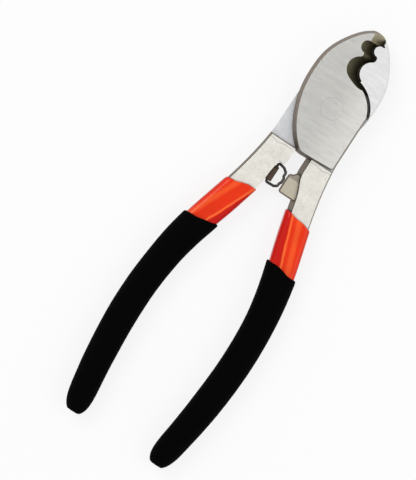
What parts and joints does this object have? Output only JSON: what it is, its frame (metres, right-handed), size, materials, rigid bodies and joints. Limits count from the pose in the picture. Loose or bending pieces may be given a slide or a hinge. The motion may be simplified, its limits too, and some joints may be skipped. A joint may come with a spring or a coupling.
{
  "type": "bypass cable cutter",
  "caption": "Hand cable cutter with two notched bypass jaws on a flush rivet, a wire latch and curved dipped and sleeved handles.",
  "frame": {"origin": "on the pivot axis, in the ground rear face of the head", "axes": "+Y along the tool from the handles to the nose, +Z along the pivot axis towards the front face, +X to the right"},
  "size_m": [0.0654, 0.2049, 0.012],
  "materials": {
    "forged_steel": "ground faces, satin shanks, darker forged edges",
    "rivet_steel": "ground flush",
    "wire_steel": "blackened wire",
    "orange_pvc": "glossy dipped coat",
    "black_foam": "matte fine foam"
  },
  "bodies": {
    "rear_handle": {"rear_half": "forged_steel", "pivot_rivet": "rivet_steel", "rear_grip_dip": "orange_pvc", "rear_grip_sleeve": "black_foam"},
    "front_handle": {"front_half": "forged_steel", "front_grip_dip": "orange_pvc", "front_grip_sleeve": "black_foam"},
    "latch": {"latch_bail": "wire_steel"}
  },
  "joints": [
    {"name": "jaw_pivot", "type": "hinge", "parent": "rear_handle", "child": "front_handle", "pos_m": [0, 0, 0.005], "axis": [0, 0, 1], "range_deg": [0, 36]},
    {"name": "latch_swing", "type": "hinge", "parent": "rear_handle", "child": "latch", "pos_m": [-0.0054, -0.031, 0.005], "axis": [-0.0731, -0.9973, 0], "range_deg": [0, 95]}
  ]
}
